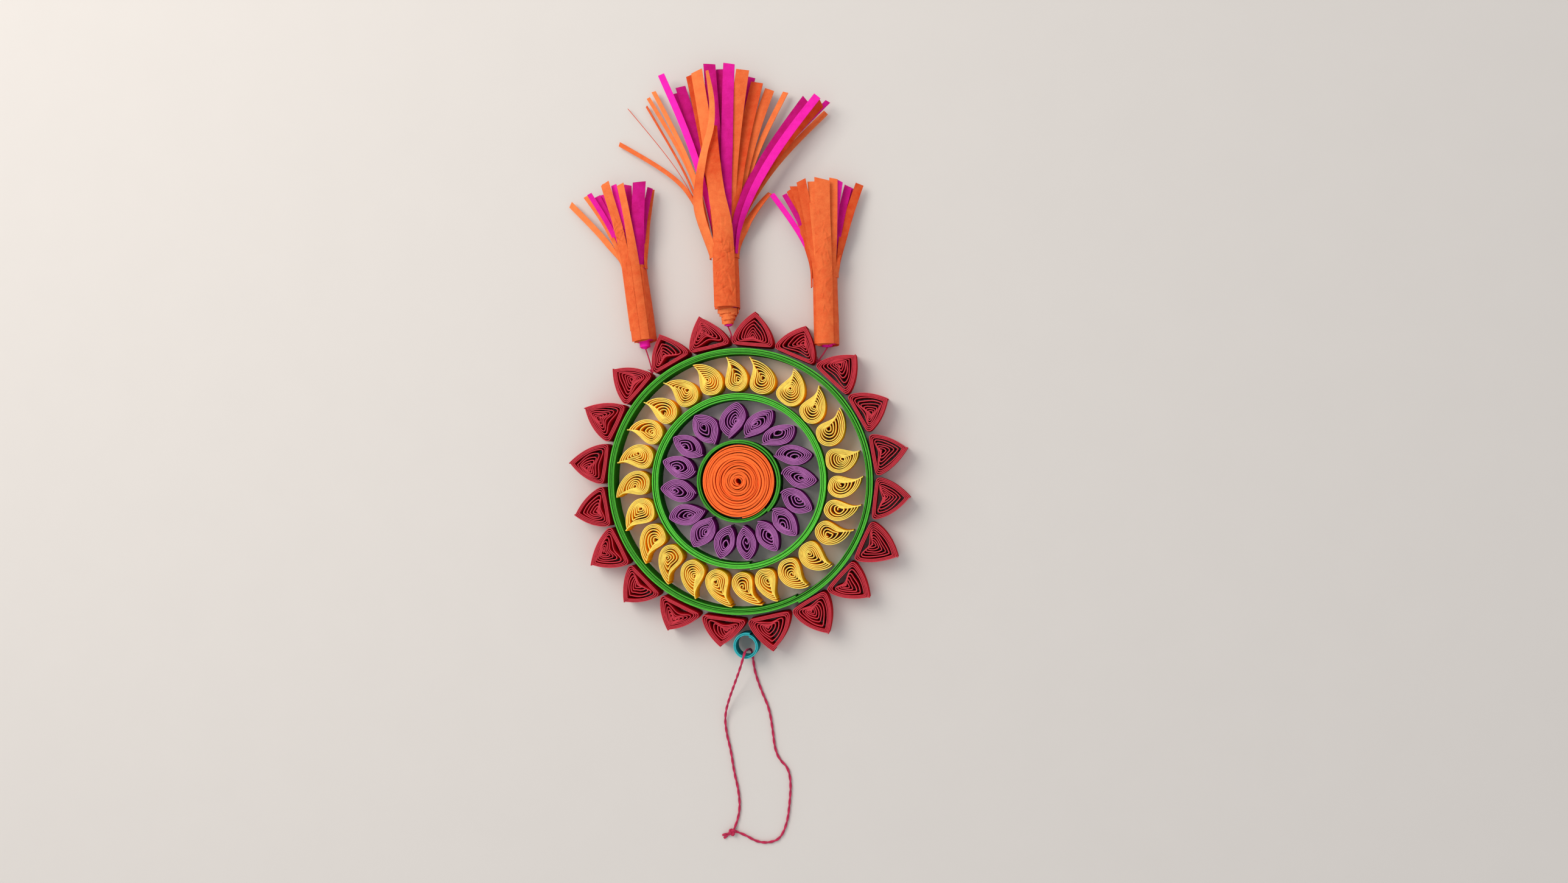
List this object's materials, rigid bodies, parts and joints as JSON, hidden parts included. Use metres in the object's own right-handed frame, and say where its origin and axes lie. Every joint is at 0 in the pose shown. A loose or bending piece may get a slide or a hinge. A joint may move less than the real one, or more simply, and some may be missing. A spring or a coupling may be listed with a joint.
{
  "type": "quilled paper wall hanging",
  "caption": "Round quilled paper wall hanging of coiled petals in concentric rings, with a thread loop to hang it by and rolled paper tassels.",
  "frame": {"origin": "middle of the medallion, on the plane that its back rests on", "axes": "+Z out of the front of the medallion, +Y towards the tassels, -Y towards the hanging loop"},
  "size_m": [0.1078, 0.2429, 0.0128],
  "materials": {
    "paper_orange": "matte dyed paper strip",
    "paper_green": "matte dyed paper strip",
    "paper_purple": "matte dyed paper strip",
    "paper_yellow": "matte dyed paper strip",
    "paper_crimson": "matte dyed paper strip",
    "paper_teal": "matte dyed paper strip",
    "paper_magenta": "matte dyed paper strip",
    "thread_crimson": "matte twisted thread"
  },
  "bodies": {
    "root": {"centre_coil": "paper_orange", "centre_tassel_cone": "paper_orange", "centre_tassel_core": "paper_magenta", "centre_tassel_tie": "thread_crimson", "centre_tassel_wrap": "paper_orange", "crimson_triangle_01": "paper_crimson", "crimson_triangle_02": "paper_crimson", "crimson_triangle_03": "paper_crimson", "crimson_triangle_04": "paper_crimson", "crimson_triangle_05": "paper_crimson", "crimson_triangle_06": "paper_crimson", "crimson_triangle_07": "paper_crimson", "crimson_triangle_08": "paper_crimson", "crimson_triangle_09": "paper_crimson", "crimson_triangle_10": "paper_crimson", "crimson_triangle_11": "paper_crimson", "crimson_triangle_12": "paper_crimson", "crimson_triangle_13": "paper_crimson", "crimson_triangle_14": "paper_crimson", "crimson_triangle_15": "paper_crimson", "crimson_triangle_16": "paper_crimson", "crimson_triangle_17": "paper_crimson", "crimson_triangle_18": "paper_crimson", "crimson_triangle_19": "paper_crimson", "crimson_triangle_20": "paper_crimson", "hanging_ring": "paper_teal", "hanging_thread": "thread_crimson", "inner_ring": "paper_green", "left_tassel_core": "paper_magenta", "left_tassel_tie": "thread_crimson", "left_tassel_wrap": "paper_orange", "middle_ring": "paper_green", "outer_ring": "paper_green", "purple_eye_01": "paper_purple", "purple_eye_02": "paper_purple", "purple_eye_03": "paper_purple", "purple_eye_04": "paper_purple", "purple_eye_05": "paper_purple", "purple_eye_06": "paper_purple", "purple_eye_07": "paper_purple", "purple_eye_08": "paper_purple", "purple_eye_09": "paper_purple", "purple_eye_10": "paper_purple", "purple_eye_11": "paper_purple", "purple_eye_12": "paper_purple", "purple_eye_13": "paper_purple", "purple_eye_14": "paper_purple", "purple_eye_15": "paper_purple", "purple_eye_16": "paper_purple", "right_tassel_core": "paper_magenta", "right_tassel_tie": "thread_crimson", "right_tassel_wrap": "paper_orange", "thread_knot": "thread_crimson", "yellow_teardrops": "paper_yellow"}
  },
  "joints": []
}
